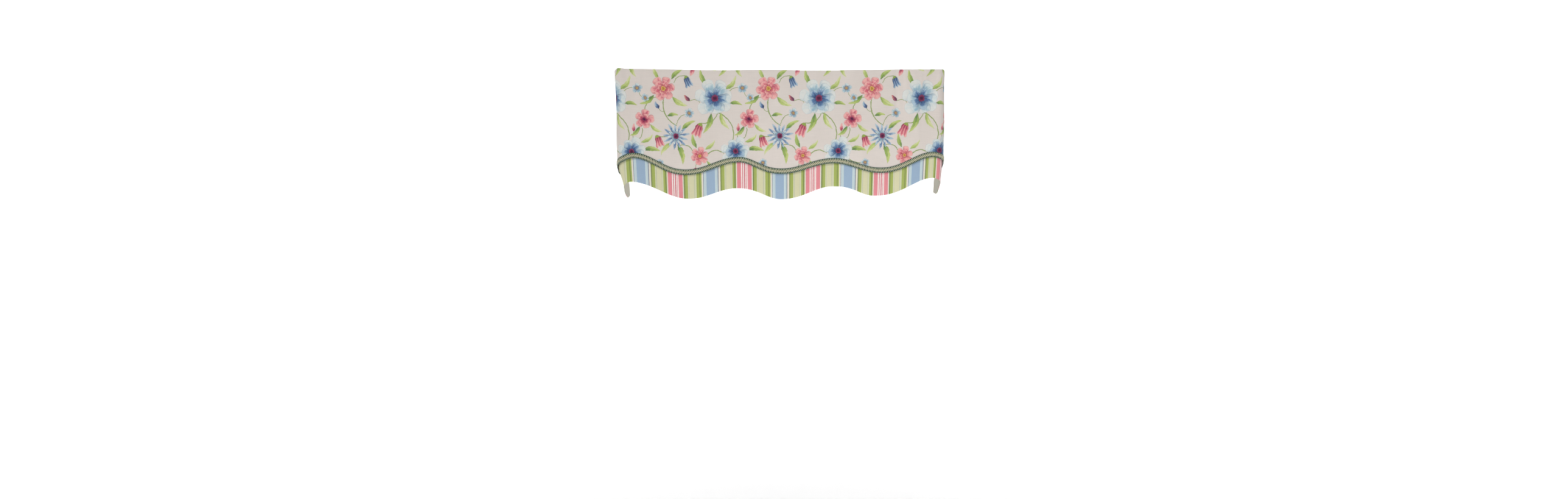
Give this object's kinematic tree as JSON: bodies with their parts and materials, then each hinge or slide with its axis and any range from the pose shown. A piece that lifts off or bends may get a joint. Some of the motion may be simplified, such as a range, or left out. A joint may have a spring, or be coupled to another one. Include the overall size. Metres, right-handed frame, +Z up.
{
  "type": "window valance with scalloped braided edge",
  "caption": "Flat scalloped cloth window valance with short side returns, a braided wavy edge over a striped under panel, and a plain lining.",
  "frame": {"origin": "middle of the valance's top edge", "axes": "+Z up, -Y out of the front face, +Y back towards the wall, +X to the right when facing the front"},
  "size_m": [1.1256, 0.1073, 0.4368],
  "materials": {
    "printed_cloth": "matt slubbed cotton with a printed flower pattern",
    "braid": "woven braid, teal edges and straw-coloured middle",
    "striped_cloth": "matt woven cotton stripe in green, straw, pink and blue",
    "lining_cloth": "plain matt cotton lining"
  },
  "bodies": {
    "root": {"floral_panel": "printed_cloth", "braid_trim": "braid", "stripe_panel": "striped_cloth", "lining": "lining_cloth"}
  },
  "joints": []
}
